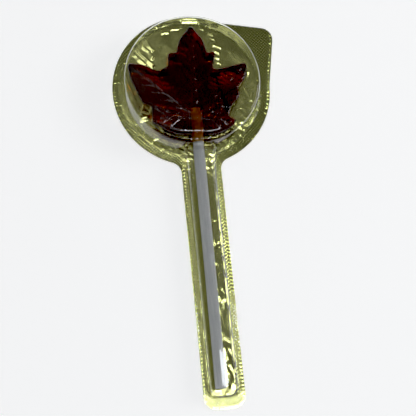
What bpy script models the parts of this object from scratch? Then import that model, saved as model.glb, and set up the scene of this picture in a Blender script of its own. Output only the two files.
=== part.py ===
"""A maple-leaf hard candy on a stick, sealed in a clear blister on a foil backing. Lies flat, +Z up, head to +Y."""

import math

import bmesh
import bpy
from mathutils import Matrix, Vector

# Sizes, in metres and degrees
GAP = 0.0003

HEAD_R = 0.0296
HEAD_CENTER = (-0.0005, -0.0005)
STRIP_HALF = 0.00735
STRIP_END_Y = -0.1183
STRIP_END_ROUND = 0.0046
NECK_FILLET = 0.0045
TAB_TURN = -10.0
TAB_RIGHT = 0.0288
TAB_TOP = 0.0276
TAB_ROUND = 0.0046
FOIL_T = 0.0003

SHELL_T = 0.00045
SHELL_Z = FOIL_T + GAP
DOME_CENTER = (-0.0013, -0.0006)
DOME_FOOT_R = 0.0262
DOME_SHOULDER_R = 0.0248
DOME_TOP_Z = 0.0133
DOME_CROWN = 0.0003
DOME_ROUND = 0.0019

CHANNEL_X = -0.0004
CHANNEL_HALF = 0.00565
CHANNEL_TOP_Z = 0.0070
CHANNEL_DRAFT = 0.0008
CHANNEL_ROUND = 0.0024
CHANNEL_END_Y = -0.1145
CHANNEL_END_ROUND = 0.0034
CHANNEL_FLARE = 0.0042
CHANNEL_FLARE_Y = -0.0345
CHANNEL_START_Y = -0.0195

STICK_R = 0.00200
STICK_LENGTH = 0.1016
STICK_TOP = (-0.00048, -0.0098)
STICK_Z = 0.0036
STICK_LEAN = 0.50
STICK_EDGE = 0.00015

LEAF_ROOT = (-0.0010, -0.0140)
LEAF_Z = FOIL_T + GAP
LEAF_CREST = 0.0093
LEAF_VALLEY = 0.0077
LEAF_TIP_DROP = 0.0011
LEAF_DRAFT = 0.0005
LEAF_ROUND = 0.0017
LEAF_STEP = 0.0014
LEAF_RINGS = (1.0, 0.985, 0.965, 0.935, 0.90, 0.84, 0.75, 0.63, 0.49, 0.33, 0.16)

# Leaf corners from the root: bearing from +X, reach and rounding, counter-clockwise from the lower right
LEAF_CORNERS = (
    (-8.8, 0.0163, 0.0011),
    (-0.5, 0.0123, 0.0009),
    (14.0, 0.0140, 0.0030),
    (23.5, 0.0187, 0.0014),
    (31.5, 0.0196, 0.0010),
    (36.0, 0.0248, 0.0040),
    (44.2, 0.0297, 0.0016),
    (57.0, 0.0225, 0.0060),
    (65.8, 0.0201, 0.0008),
    (68.4, 0.0278, 0.0012),
    (74.9, 0.0259, 0.0006),
    (79.3, 0.0308, 0.0060),
    (87.5, 0.0367, 0.0011),
    (96.2, 0.0309, 0.0060),
    (100.9, 0.0262, 0.0006),
    (107.6, 0.0268, 0.0013),
    (112.6, 0.0221, 0.0010),
    (122.7, 0.0224, 0.0010),
    (129.2, 0.0281, 0.0060),
    (136.0, 0.0327, 0.0017),
    (144.5, 0.0275, 0.0060),
    (161.3, 0.0199, 0.0010),
    (162.6, 0.0166, 0.0009),
    (177.8, 0.0157, 0.0015),
    (205.0, 0.0094, 0.0120),
    (271.0, 0.0062, 0.0120),
    (331.0, 0.0099, 0.0120),
)
LEAF_VEINS = (-8.8, 23.5, 44.2, 87.5, 136.0, 161.3, 177.8)
LEAF_VALLEYS = (-50.0, 8.0, 31.5, 65.8, 117.0, 153.0, 169.0, 230.0)


def new_collection(name):
    made = bpy.data.collections.new(name)
    bpy.context.scene.collection.children.link(made)
    return made


def new_material(name, color, roughness, metallic, transmission=0.0):
    made = bpy.data.materials.new(name)
    made.use_nodes = True
    shader = made.node_tree.nodes["Principled BSDF"]
    shader.inputs["Base Color"].default_value = (*color, 1.0)
    shader.inputs["Roughness"].default_value = roughness
    shader.inputs["Metallic"].default_value = metallic
    shader.inputs["Transmission Weight"].default_value = transmission
    return made


def add_object(name, mesh, collection, material=None):
    made = bpy.data.objects.new(name, mesh)
    collection.objects.link(made)
    if material:
        mesh.materials.append(material)
    else:
        made.hide_render = True
        made.display_type = "WIRE"
    return made


def mesh_from(name, points, faces):
    """A mesh with its faces turned outwards."""
    bm = bmesh.new()
    verts = [bm.verts.new(point) for point in points]
    for face in faces:
        bm.faces.new([verts[i] for i in face])
    bmesh.ops.recalc_face_normals(bm, faces=bm.faces)
    mesh = bpy.data.meshes.new(name)
    bm.to_mesh(mesh)
    bm.free()
    return mesh


def at(bearing, reach, center=(0.0, 0.0)):
    turn = math.radians(bearing)
    return Vector((center[0] + reach * math.cos(turn), center[1] + reach * math.sin(turn)))


def arc(center, radius, start, end, steps):
    return [at(start + (end - start) * i / steps, radius, center) for i in range(steps + 1)]


def rounded(corners, steps=4):
    """The closed outline through corners (point, radius), each corner replaced by an arc."""
    outline = []
    for i, (point, radius) in enumerate(corners):
        back = (corners[i - 1][0] - point).normalized()
        ahead = (corners[(i + 1) % len(corners)][0] - point).normalized()
        half = back.angle(ahead) / 2
        reach = radius / math.tan(half)
        room = min(
            (corners[i - 1][0] - point).length, (corners[(i + 1) % len(corners)][0] - point).length
        )
        reach = min(reach, 0.48 * room)
        start, end = point + back * reach, point + ahead * reach
        for k in range(steps + 1):
            t = k / steps
            outline.append(start * (1 - t) ** 2 + point * (2 * t * (1 - t)) + end * t**2)
    return outline


def neck_fillet(side):
    """Centre of the fillet between head and strip, and the bearing from the head centre through it."""
    x = side * (STRIP_HALF + NECK_FILLET)
    away = x - HEAD_CENTER[0]
    down = -math.sqrt((HEAD_R + NECK_FILLET) ** 2 - away**2)
    return Vector((x, HEAD_CENTER[1] + down)), math.degrees(math.atan2(down, away)) % 360.0


def tab_meets_head(turn, distance, side):
    """Bearing from the head centre where a tab edge, this far from the origin, leaves the head circle."""
    short = distance - Vector(HEAD_CENTER).dot(at(turn, 1.0))
    return turn + side * math.degrees(math.acos(short / HEAD_R))


def pack_outline():
    """The die-cut outline shared by foil and flange: head circle, peel tab, neck fillets and strip."""
    right, right_turn = neck_fillet(1)
    left, left_turn = neck_fillet(-1)
    tab_low = tab_meets_head(TAB_TURN, TAB_RIGHT, 1)
    tab_high = tab_meets_head(TAB_TURN + 90.0, TAB_TOP, -1)
    inward = TAB_RIGHT - TAB_ROUND, TAB_TOP - TAB_ROUND
    tab_center = at(TAB_TURN, inward[0]) + at(TAB_TURN + 90.0, inward[1])
    low = STRIP_END_Y + STRIP_END_ROUND
    inner = STRIP_HALF - STRIP_END_ROUND

    outline = arc(HEAD_CENTER, HEAD_R, right_turn - 360.0, tab_low, 16)
    outline += arc(tab_center, TAB_ROUND, TAB_TURN, TAB_TURN + 90.0, 8)
    outline += arc(HEAD_CENTER, HEAD_R, tab_high, left_turn, 44)
    outline += arc(left, NECK_FILLET, left_turn - 180.0, 0.0, 6)[1:]
    outline += arc((-inner, low), STRIP_END_ROUND, 180.0, 270.0, 6)
    outline += arc((inner, low), STRIP_END_ROUND, 270.0, 360.0, 6)
    outline += arc(right, NECK_FILLET, 180.0, right_turn - 180.0, 6)[:-1]
    return outline


def plate(name, outline, low, high):
    count = len(outline)
    points = [(p.x, p.y, low) for p in outline] + [(p.x, p.y, high) for p in outline]
    faces = [list(range(count)), list(range(count, 2 * count))]
    faces += [(i, (i + 1) % count, count + (i + 1) % count, count + i) for i in range(count)]
    return mesh_from(name, points, faces)


def dome_profile(inset, foot_z):
    """Half section of the dome from the crown out to the foot, this far inside the outer skin."""
    foot = DOME_FOOT_R - inset
    shoulder = DOME_SHOULDER_R - inset
    top = DOME_TOP_Z - inset
    bend = DOME_ROUND - inset
    profile = [(0.0, top), (0.45 * shoulder, top - 0.2 * DOME_CROWN)]
    for i in range(6):
        turn = math.radians(90.0 * (1 - i / 5))
        profile.append(
            (
                shoulder - bend + bend * math.cos(turn),
                top - DOME_CROWN - bend + bend * math.sin(turn),
            )
        )
    profile.append((foot, SHELL_Z))
    if foot_z < SHELL_Z:
        profile.append((foot, foot_z))
    profile.append((0.0, foot_z))
    return profile


def dome_solid(name, inset, foot_z, collection):
    bm = bmesh.new()
    verts = [bm.verts.new((x, 0.0, z)) for x, z in dome_profile(inset, foot_z)]
    for first, second in zip(verts, verts[1:]):
        bm.edges.new((first, second))
    mesh = bpy.data.meshes.new(name)
    bm.to_mesh(mesh)
    bm.free()
    made = add_object(name, mesh, collection)
    made.location = (*DOME_CENTER, 0.0)
    turn = made.modifiers.new("Turn", "SCREW")
    turn.steps = turn.render_steps = 72
    turn.use_merge_vertices = True
    turn.merge_threshold = 0.0001
    return made


def channel_section(half, top, bend, foot_z):
    """Arch section from the left foot over the top to the right foot."""
    shoulder = half - CHANNEL_DRAFT * (top - SHELL_Z) / (CHANNEL_TOP_Z - SHELL_Z)
    bend = min(bend, 0.9 * shoulder, 0.9 * (top - SHELL_Z))
    side = [(half, foot_z), (half, SHELL_Z)] if foot_z < SHELL_Z else [(half, SHELL_Z)]
    for i in range(5):
        turn = math.radians(90.0 * i / 4)
        side.append(
            (shoulder - bend + bend * math.cos(turn), top - bend + bend * math.sin(turn))
        )
    return [(-x, z) for x, z in side] + [(x, z) for x, z in reversed(side)]


def channel_stations(inset):
    """(y, half width, top) down the channel: flared at the neck, rounded off at its end."""
    half = CHANNEL_HALF - inset
    top = CHANNEL_TOP_Z - inset
    stations = []
    for i in range(9):
        share = i / 8
        y = CHANNEL_START_Y + (CHANNEL_FLARE_Y - CHANNEL_START_Y) * share
        stations.append((y, half + CHANNEL_FLARE * (1 - share) ** 2.2, top))
    end = CHANNEL_END_Y + inset
    bend = CHANNEL_END_ROUND - inset
    for i in range(7):
        turn = math.radians(90.0 * i / 6)
        stations.append(
            (
                end + bend - bend * math.sin(turn),
                half - bend + bend * math.cos(turn),
                top - 0.45 * bend * (1 - math.cos(turn)),
            )
        )
    return stations


def channel_solid(name, inset, foot_z, collection):
    points, faces = [], []
    stations = channel_stations(inset)
    for y, half, top in stations:
        ring = channel_section(half, top, CHANNEL_ROUND - inset, foot_z)
        points += [(CHANNEL_X + x, y, z) for x, z in ring]
    size = len(points) // len(stations)
    for i in range(len(stations) - 1):
        for k in range(size):
            a, b = i * size + k, i * size + (k + 1) % size
            faces.append((a, b, b + size, a + size))
    faces.append(tuple(range(size)))
    faces.append(tuple(range(len(points) - size, len(points))))
    return add_object(name, mesh_from(name, points, faces), collection)


def leaf_outline():
    """The leaf outline, split so that no side is longer than the step."""
    corners = [(at(b, r, LEAF_ROOT), bend) for b, r, bend in LEAF_CORNERS]
    coarse = rounded(corners)
    outline = []
    for i, point in enumerate(coarse):
        ahead = coarse[(i + 1) % len(coarse)]
        parts = max(1, math.ceil((ahead - point).length / LEAF_STEP))
        if (ahead - point).length > 1e-6:
            outline += [point.lerp(ahead, k / parts) for k in range(parts)]
    return outline


def moved_in(outline, distance):
    moved = []
    for i, point in enumerate(outline):
        along = (outline[(i + 1) % len(outline)] - outline[i - 1]).normalized()
        moved.append(point + Vector((-along.y, along.x)) * distance)
    return moved


def edge_distance(point, outline):
    best = 1.0
    for i, start in enumerate(outline):
        side = start - outline[i - 1]
        share = max(0.0, min(1.0, (point - outline[i - 1]).dot(side) / side.length_squared))
        best = min(best, (point - outline[i - 1] - side * share).length)
    return best


def ridge_share(bearing):
    """1 on a vein, 0 in the valley between two lobes."""
    turn = (bearing + 90.0) % 360.0 - 90.0
    vein = min(LEAF_VEINS, key=lambda v: abs(v - turn))
    valleys = [v for v in LEAF_VALLEYS if (v - vein) * (turn - vein) > 0] or [vein + 60.0]
    valley = min(valleys, key=lambda v: abs(v - vein))
    return max(0.0, 1.0 - abs(turn - vein) / abs(valley - vein))


def leaf_top(point, share, distance):
    """Height of the moulded face: lobes ridged along their veins, rounded over at the rim."""
    root = Vector(LEAF_ROOT)
    away = point - root
    bearing = math.degrees(math.atan2(away.y, away.x)) if away.length > 1e-6 else 90.0
    spread = min(1.0, away.length / 0.008)
    ridge = 1.0 - (1.0 - ridge_share(bearing)) * spread
    height = LEAF_VALLEY + (LEAF_CREST - LEAF_VALLEY) * ridge - LEAF_TIP_DROP * share**2
    if distance < LEAF_ROUND:
        height -= LEAF_ROUND - math.sqrt(LEAF_ROUND**2 - (LEAF_ROUND - distance) ** 2)
    return height


def leaf_mesh(name):
    foot = leaf_outline()
    rim = moved_in(foot, LEAF_DRAFT)
    root = Vector(LEAF_ROOT)
    count = len(foot)
    points = [(p.x, p.y, LEAF_Z) for p in foot]
    for share in LEAF_RINGS:
        for p in rim:
            spot = root.lerp(p, share)
            distance = edge_distance(spot, rim) if share < 1.0 else 0.0
            points.append((spot.x, spot.y, leaf_top(spot, share, distance)))
    points.append((root.x, root.y, LEAF_CREST))
    faces = [tuple(range(count))]
    for ring in range(len(LEAF_RINGS)):
        for i in range(count):
            a, b = ring * count + i, ring * count + (i + 1) % count
            faces.append((a, b, b + count))
            faces.append((a, b + count, a + count))
    last = len(LEAF_RINGS) * count
    for i in range(count):
        faces.append((last + i, last + (i + 1) % count, len(points) - 1))
    return mesh_from(name, points, faces)


def stick_mesh(name, radius, length, edge):
    bm = bmesh.new()
    bmesh.ops.create_cone(
        bm, cap_ends=True, segments=40, radius1=radius, radius2=radius, depth=length
    )
    if edge:
        rims = [e for e in bm.edges if abs(e.verts[0].co.z - e.verts[1].co.z) < 1e-7]
        bmesh.ops.bevel(bm, geom=rims, offset=edge, segments=2, profile=0.5, affect="EDGES")
    turn = Matrix.Rotation(math.radians(90.0), 4, "X")
    bmesh.ops.transform(bm, matrix=turn, verts=bm.verts)
    mesh = bpy.data.meshes.new(name)
    bm.to_mesh(mesh)
    bm.free()
    return mesh


def place_stick(stick, top_y_extra):
    """Lays the stick, or its bore, in line from the tip inside the candy."""
    turn = math.radians(STICK_LEAN)
    down = Vector((-math.sin(turn), -math.cos(turn), 0.0))
    start = Vector((*STICK_TOP, STICK_Z)) - down * top_y_extra
    stick.location = start + down * (stick.dimensions.y / 2)
    stick.rotation_euler.z = -turn


def join(target, other, operation):
    step = target.modifiers.new(other.name, "BOOLEAN")
    step.operation = operation
    step.solver = "EXACT"
    step.object = other


for leftover in list(bpy.data.objects):
    bpy.data.objects.remove(leftover)

lollipop = new_collection("Maple sugar lollipop")
cutters = new_collection("Cutters")
cutters.hide_render = True

gold_foil = new_material("Gold foil", (0.42, 0.40, 0.16), 0.35, 1.0)
clear_plastic = new_material("Clear plastic", (0.95, 0.97, 0.96), 0.06, 0.0, 1.0)
dark_candy = new_material("Dark maple candy", (0.12, 0.008, 0.004), 0.08, 0.0, 0.6)
white_stick = new_material("White paper stick", (0.62, 0.62, 0.64), 0.45, 0.0)

# Foil backing
outline = pack_outline()
foil = add_object("foil_backing", plate("foil_backing", outline, 0.0, FOIL_T), lollipop, gold_foil)

# Clear blister, open at the back
flange = plate("clear_blister", outline, SHELL_Z, SHELL_Z + SHELL_T)
blister = add_object("clear_blister", flange, lollipop, clear_plastic)
join(blister, dome_solid("dome_outside", 0.0, SHELL_Z, cutters), "UNION")
join(blister, channel_solid("channel_outside", 0.0, SHELL_Z, cutters), "UNION")
join(blister, dome_solid("dome_inside", SHELL_T, SHELL_Z - 0.001, cutters), "DIFFERENCE")
join(blister, channel_solid("channel_inside", SHELL_T, SHELL_Z - 0.001, cutters), "DIFFERENCE")

# Candy leaf with a blind bore for the stick
candy = add_object("candy_leaf", leaf_mesh("candy_leaf"), lollipop, dark_candy)
bore = add_object(
    "stick_bore", stick_mesh("stick_bore", STICK_R + GAP, STICK_LENGTH, 0.0), cutters
)
place_stick(bore, GAP)
join(candy, bore, "DIFFERENCE")

# Stick
stick = add_object(
    "stick", stick_mesh("stick", STICK_R, STICK_LENGTH, STICK_EDGE), lollipop, white_stick
)
place_stick(stick, 0.0)
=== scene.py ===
import math

import bmesh
import bpy
from mathutils import Matrix, Vector, noise
from mathutils.bvhtree import BVHTree


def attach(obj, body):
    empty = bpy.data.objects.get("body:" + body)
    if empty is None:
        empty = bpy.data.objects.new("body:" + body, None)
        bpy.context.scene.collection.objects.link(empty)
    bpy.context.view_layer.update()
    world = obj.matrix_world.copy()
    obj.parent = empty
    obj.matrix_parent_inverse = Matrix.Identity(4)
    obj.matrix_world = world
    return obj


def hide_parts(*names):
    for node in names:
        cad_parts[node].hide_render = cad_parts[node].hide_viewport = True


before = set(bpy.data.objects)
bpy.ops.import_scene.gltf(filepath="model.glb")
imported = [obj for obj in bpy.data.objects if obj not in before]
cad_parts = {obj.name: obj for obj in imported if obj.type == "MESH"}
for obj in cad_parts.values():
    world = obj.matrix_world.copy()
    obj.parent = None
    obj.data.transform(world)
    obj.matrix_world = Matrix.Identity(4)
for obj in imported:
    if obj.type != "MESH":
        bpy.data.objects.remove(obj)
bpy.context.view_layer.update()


# Stick
# A rolled paper lollipop stick, 4 by 102 mm, cut square with softly crushed rims. Its upper 13 mm
# is cast into the candy, whose syrup has soaked it amber. Its lower end lies free in the channel.
STICK_R = 0.0020
STICK_LENGTH = 0.1016
STICK_TOP = Vector((-0.00048, -0.0098, 0.0036))
STICK_LEAN = math.radians(0.50)
STICK_SIDES = 72
STICK_RIM_ROUND = 0.00022
STICK_END_INSET = 0.0011
STICK_END_DISH = 0.00012
STICK_CORE_STEP = 0.00035
ALONG_STICK = (
    Matrix.Translation(STICK_TOP)
    @ Matrix.Rotation(-STICK_LEAN, 4, "Z")
    @ Matrix.Rotation(math.radians(90.0), 4, "X")
)
PAPER = (0.77, 0.77, 0.77, 1.0)
PAPER_SHADE = (0.65, 0.65, 0.66, 1.0)
PAPER_SOAKED = (0.80, 0.43, 0.06, 1.0)
PAPER_ROUGHNESS = 0.52
SOAKED_FROM_Y = -0.0228
SOAKED_FADE = 0.0006
FIBRES_PER_METRE = (2600.0, 90.0, 2600.0)


def new_material(name, base, roughness, metallic=0.0):
    """A material with its Principled shader's plain values set, and its node tree."""
    made = bpy.data.materials.new(name)
    made.use_nodes = True
    tree = made.node_tree
    shader = tree.nodes["Principled BSDF"]
    shader.inputs["Base Color"].default_value = base
    shader.inputs["Roughness"].default_value = roughness
    shader.inputs["Metallic"].default_value = metallic
    return made, tree, shader


def add_node(tree, kind, **values):
    """A node with these properties; a key that is a socket's name sets that input's value."""
    made = tree.nodes.new(kind)
    for key, value in values.items():
        if hasattr(made, key):
            setattr(made, key, value)
        else:
            made.inputs[key.replace("_", " ")].default_value = value
    return made


def bump_from(tree, height, strength, distance):
    """A Bump node of this height socket, in metres."""
    bump = add_node(tree, "ShaderNodeBump", Strength=strength, Distance=distance)
    tree.links.new(height, bump.inputs["Height"])
    return bump.outputs["Normal"]


def add_piece(name, bm, material, node):
    """The finished object of a bmesh, riding on the body in the CAD node's place."""
    mesh = bpy.data.meshes.new(name)
    bm.to_mesh(mesh)
    bm.free()
    mesh.materials.append(material)
    piece = bpy.data.objects.new(name, mesh)
    bpy.context.scene.collection.objects.link(piece)
    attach(piece, "root")
    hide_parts(node)
    return piece


def stick_body(radius):
    """A cylinder of this radius in the stick's place."""
    bm = bmesh.new()
    bmesh.ops.create_cone(
        bm,
        cap_ends=True,
        segments=STICK_SIDES,
        radius1=radius,
        radius2=radius,
        depth=STICK_LENGTH,
    )
    bmesh.ops.translate(bm, verts=bm.verts, vec=(0.0, 0.0, STICK_LENGTH / 2))
    bmesh.ops.transform(bm, verts=bm.verts, matrix=ALONG_STICK)
    return bm


paper, tree, shader = new_material("Rolled white paper", PAPER, PAPER_ROUGHNESS)
where = add_node(tree, "ShaderNodeTexCoord")
stretch = add_node(tree, "ShaderNodeMapping", Scale=FIBRES_PER_METRE)
fibres = add_node(tree, "ShaderNodeTexNoise", Scale=1.0, Detail=4.0, Roughness=0.6)
tint = add_node(tree, "ShaderNodeValToRGB")
tint.color_ramp.elements[0].position = 0.30
tint.color_ramp.elements[0].color = PAPER_SHADE
tint.color_ramp.elements[1].position = 0.62
tint.color_ramp.elements[1].color = PAPER
tree.links.new(where.outputs["Object"], stretch.inputs["Vector"])
tree.links.new(stretch.outputs["Vector"], fibres.inputs["Vector"])
tree.links.new(fibres.outputs["Fac"], tint.inputs["Fac"])
place_on = add_node(tree, "ShaderNodeSeparateXYZ")
soaked = add_node(tree, "ShaderNodeMapRange", interpolation_type="SMOOTHSTEP")
soaked.inputs["From Min"].default_value = SOAKED_FROM_Y
soaked.inputs["From Max"].default_value = SOAKED_FROM_Y + SOAKED_FADE
syrup = add_node(tree, "ShaderNodeMix", data_type="RGBA")
syrup.inputs["B"].default_value = PAPER_SOAKED
tree.links.new(where.outputs["Object"], place_on.inputs["Vector"])
tree.links.new(place_on.outputs["Y"], soaked.inputs["Value"])
tree.links.new(soaked.outputs["Result"], syrup.inputs["Factor"])
tree.links.new(tint.outputs["Color"], syrup.inputs["A"])
tree.links.new(syrup.outputs["Result"], shader.inputs["Base Color"])
tree.links.new(bump_from(tree, fibres.outputs["Fac"], 0.25, 0.00005), shader.inputs["Normal"])

bm = stick_body(STICK_R)
ends = [face for face in bm.faces if len(face.verts) > 4]
rims = [edge for face in ends for edge in face.edges]
bmesh.ops.bevel(
    bm,
    geom=rims,
    offset=STICK_RIM_ROUND,
    segments=3,
    profile=0.5,
    affect="EDGES",
    material=-1,
)
for face in [face for face in bm.faces if len(face.verts) > 4]:
    bmesh.ops.inset_region(bm, faces=[face], thickness=STICK_END_INSET, depth=-STICK_END_DISH)
    bmesh.ops.inset_region(
        bm, faces=[face], thickness=STICK_CORE_STEP, depth=-STICK_CORE_STEP
    )
for face in bm.faces:
    face.smooth = len(face.verts) == 4
add_piece("stick_paper", bm, paper, "stick")


# Candy
# Boiled maple sugar, clear dark amber, cast round the stick in a maple-leaf mould. It has a flat
# back, drafted sides that flare to a foot on the stick's side, a collar that wets the stick, and a
# face with raised ribs that fan out from the root to the tip of each lobe.
LEAF_ROOT = Vector((-0.0010, -0.0140))
LEAF_BACK = 0.0006
LEAF_CREST = 0.0088
LEAF_VALLEY = 0.00868
LEAF_TIP_DROP = 0.0011
LEAF_REACH = 0.034
LEAF_HUB = 0.008
CORNER_ROOM = 0.48
LEAF_DRAFT = 0.00012
LEAF_FLARE = 0.0008
LEAF_FLARE_FROM_Y = -0.0150
LEAF_FLARE_WITHIN = 0.003
LEAF_ROUND = 0.00110
LEAF_SHOULDER = 0.00090
LEAF_EASE = 0.00010
LEAF_EASE_LOW = 0.00030
LEAF_EASE_WIDE = 0.0030
LEAF_GRID = 0.00021
LEAF_FACE_INSET = 0.0006
LEAF_SPREAD = 1.01
SPREAD_BEARINGS = (20.0, 165.0)
MOULD_WAVER = 0.00003
RIM_STEPS = (0.62, 0.36, 0.16, 0.05, 0.0)
# Share of the draft, and height, from the rim down to the back.
WALL_STEPS = (
    (0.95, 0.0050),
    (0.90, 0.0031),
    (0.84, 0.0027),
    (0.05, 0.0011),
    (0.0, 0.00100),
)
BACK_STEPS = ((0.00010, 0.00012), (0.00035, 0.0))
# Bearing and reach from the root, and the radius of the corner there.
LEAF_CORNERS = (
    (-8.8, 0.0163, 0.0011),
    (-0.5, 0.0123, 0.0009),
    (14.0, 0.0140, 0.0030),
    (23.5, 0.0187, 0.0014),
    (31.5, 0.0196, 0.0010),
    (36.0, 0.0248, 0.0040),
    (44.2, 0.0297, 0.0016),
    (57.0, 0.0225, 0.0060),
    (65.8, 0.0201, 0.0008),
    (68.4, 0.0278, 0.0012),
    (74.9, 0.0259, 0.0006),
    (79.3, 0.0308, 0.0060),
    (87.5, 0.0367, 0.0011),
    (96.2, 0.0309, 0.0060),
    (100.9, 0.0262, 0.0006),
    (107.6, 0.0268, 0.0013),
    (112.6, 0.0221, 0.0010),
    (122.7, 0.0224, 0.0010),
    (129.2, 0.0281, 0.0060),
    (136.0, 0.0327, 0.0017),
    (144.5, 0.0275, 0.0060),
    (161.3, 0.0199, 0.0010),
    (162.6, 0.0166, 0.0009),
    (184.5, 0.0163, 0.0015),
    (205.8, 0.0127, 0.0120),
    (227.0, 0.0098, 0.0120),
    (271.0, 0.0079, 0.0120),
    (313.0, 0.0110, 0.0120),
    (338.0, 0.0144, 0.0120),
)
# Bearing and length of each lobe's main rib, and then the bearings of the valleys between lobes.
LEAF_VEINS = (
    (-8.8, 0.0150),
    (23.5, 0.0176),
    (44.2, 0.0286),
    (87.5, 0.0355),
    (136.0, 0.0315),
    (161.3, 0.0188),
    (177.8, 0.0146),
)
LEAF_VALLEYS = (-50.0, 8.0, 31.5, 65.8, 117.0, 153.0, 169.0, 230.0)
RIB_FROM = -0.001
RIB_HALF = 0.00055
RIB_TAPER = 0.00022
RIB_HIGH = 0.00032
RIB_TIP_FADE = 0.004
RIB_RIM_FADE = 0.0015
SIDE_RIB_TURN = 36.0
SIDE_RIB_FROM = 0.0005
SIDE_RIB_PITCH = 0.0045
SIDE_RIB_LENGTH = 0.0080
SIDE_RIB_TIP_FADE = 0.003
SIDE_RIB_ROOT_FADE = 0.0006
SIDE_RIB_HALF = 0.00038
SIDE_RIB_HIGH = 0.00012
COLLAR_START = 0.0085
COLLAR_LENGTH = 0.0044
COLLAR_WIDE = 0.0029
COLLAR_NARROW = 0.00208
COLLAR_STEPS = (0.15, 0.35, 0.6, 0.8, 0.93, 1.0)
BORE_GRIP = 0.00003
# How strongly a millimetre of candy absorbs each colour.
CANDY_RED = 0.063
CANDY_GREEN = 0.165
CANDY_BLUE = 0.90
CANDY_ROUGHNESS = 0.05
CANDY_IOR = 1.50


def at(bearing, reach, center=(0.0, 0.0)):
    """The point at this bearing in degrees and this reach from the center."""
    turn = math.radians(bearing)
    return Vector((center[0] + reach * math.cos(turn), center[1] + reach * math.sin(turn)))


def arc(center, radius, start, end, steps):
    """Points of a circle from one bearing to another."""
    return [at(start + (end - start) * i / steps, radius, center) for i in range(steps + 1)]


def rounded(corners, steps=6):
    """The closed outline through corners of (point, radius), each one rounded off."""
    outline = []
    for i, (point, radius) in enumerate(corners):
        back = corners[i - 1][0] - point
        ahead = corners[(i + 1) % len(corners)][0] - point
        room = CORNER_ROOM * min(back.length, ahead.length)
        reach = min(radius / math.tan(back.angle(ahead) / 2), room)
        start, end = point + back.normalized() * reach, point + ahead.normalized() * reach
        for k in range(steps + 1):
            t = k / steps
            outline.append(start * (1 - t) ** 2 + point * (2 * t * (1 - t)) + end * t**2)
    return outline


class EdgeLine:
    """The outline of a mould or a die-cut sheet, which tells how far inside it a point is."""

    def __init__(self, outline):
        count = len(outline)
        points = [(p.x, p.y, z) for z in (-1.0, 1.0) for p in outline]
        sides = [(i, (i + 1) % count, count + (i + 1) % count, count + i) for i in range(count)]
        self.tree = BVHTree.FromPolygons(points, sides)

    def nearest(self, x, y):
        """The nearest point of the outline, and the depth inside it, under 0 outside."""
        spot, normal, _, distance = self.tree.find_nearest(Vector((x, y, 0.0)))
        inside = (Vector((x, y, 0.0)) - spot).dot(normal) < 0.0
        return spot, distance if inside else -distance


def trimmed_grid(edge_line, low, high, step, turn, inset):
    """A square grid, turned, cut to the outline less inset(y), its border drawn onto that."""
    bm = bmesh.new()
    reach = (Vector(high) - Vector(low)).length / 2
    count = math.ceil(reach / step)
    bmesh.ops.create_grid(bm, x_segments=2 * count, y_segments=2 * count, size=count * step)
    center = (Vector(low) + Vector(high)) / 2
    place = Matrix.Translation((center.x, center.y, 0.0)) @ Matrix.Rotation(turn, 4, "Z")
    bmesh.ops.transform(bm, verts=bm.verts, matrix=place)
    outside = []
    for vert in bm.verts:
        spot, depth = edge_line.nearest(vert.co.x, vert.co.y)
        if depth < inset(spot.y):
            outside.append(vert)
    bmesh.ops.delete(bm, geom=outside, context="VERTS")
    loose = [v for v in bm.verts if not v.link_faces]
    bmesh.ops.delete(bm, geom=loose, context="VERTS")
    for vert in [v for v in bm.verts if v.is_boundary]:
        spot, _ = edge_line.nearest(vert.co.x, vert.co.y)
        away = (vert.co - Vector((spot.x, spot.y, 0.0))).normalized()
        vert.co = Vector((spot.x, spot.y, 0.0)) + away * inset(spot.y)
    return bm


def low_side(y):
    """1 on the lower side, where the foot flares out and the rim is softer."""
    share = max(0.0, min(1.0, (LEAF_FLARE_FROM_Y - y) / LEAF_FLARE_WITHIN))
    return share * share * (3.0 - 2.0 * share)


def leaf_draft(y):
    """How far the face's edge lies inside the foot: more on the lower side."""
    return LEAF_DRAFT + LEAF_FLARE * low_side(y)


def leaf_ridge(bearing):
    """1 on a rib, 0 in the valley between two lobes."""
    turn = (bearing + 90.0) % 360.0 - 90.0
    vein = min((v for v, _ in LEAF_VEINS), key=lambda v: abs(v - turn))
    valleys = [v for v in LEAF_VALLEYS if (v - vein) * (turn - vein) > 0] or [vein + 60.0]
    valley = min(valleys, key=lambda v: abs(v - vein))
    return max(0.0, 1.0 - abs(turn - vein) / abs(valley - vein))


def rib(distance, half, height):
    """A raised rib, softly rounded into the face."""
    return height * math.exp(-((distance / half) ** 2)) if distance < 3.0 * half else 0.0


def leaf_ribs(point):
    """Height of the main ribs and of their side ribs at this point from the root."""
    main = branches = 0.0
    for bearing, reach in LEAF_VEINS:
        along = at(bearing, 1.0)
        run = point.dot(along)
        off = abs(point.cross(along))
        if RIB_FROM < run < reach:
            half = RIB_HALF - RIB_TAPER * run / reach
            fade = min(1.0, (reach - run) / RIB_TIP_FADE)
            main = max(main, rib(off, half, RIB_HIGH * fade))
        for k in range(1, 7):
            start = SIDE_RIB_FROM + SIDE_RIB_PITCH * k
            if start > reach - RIB_TIP_FADE:
                break
            for side in (-1.0, 1.0):
                branch = at(bearing + side * SIDE_RIB_TURN, 1.0)
                local = point - along * start
                step = local.dot(branch)
                if 0.0 < step < SIDE_RIB_LENGTH:
                    fade = min(1.0, (SIDE_RIB_LENGTH - step) / SIDE_RIB_TIP_FADE)
                    fade *= min(1.0, step / SIDE_RIB_ROOT_FADE)
                    off = abs(local.cross(branch))
                    branches += rib(off, SIDE_RIB_HALF, SIDE_RIB_HIGH * fade)
    return main + min(branches, 2.0 * SIDE_RIB_HIGH)


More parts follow.
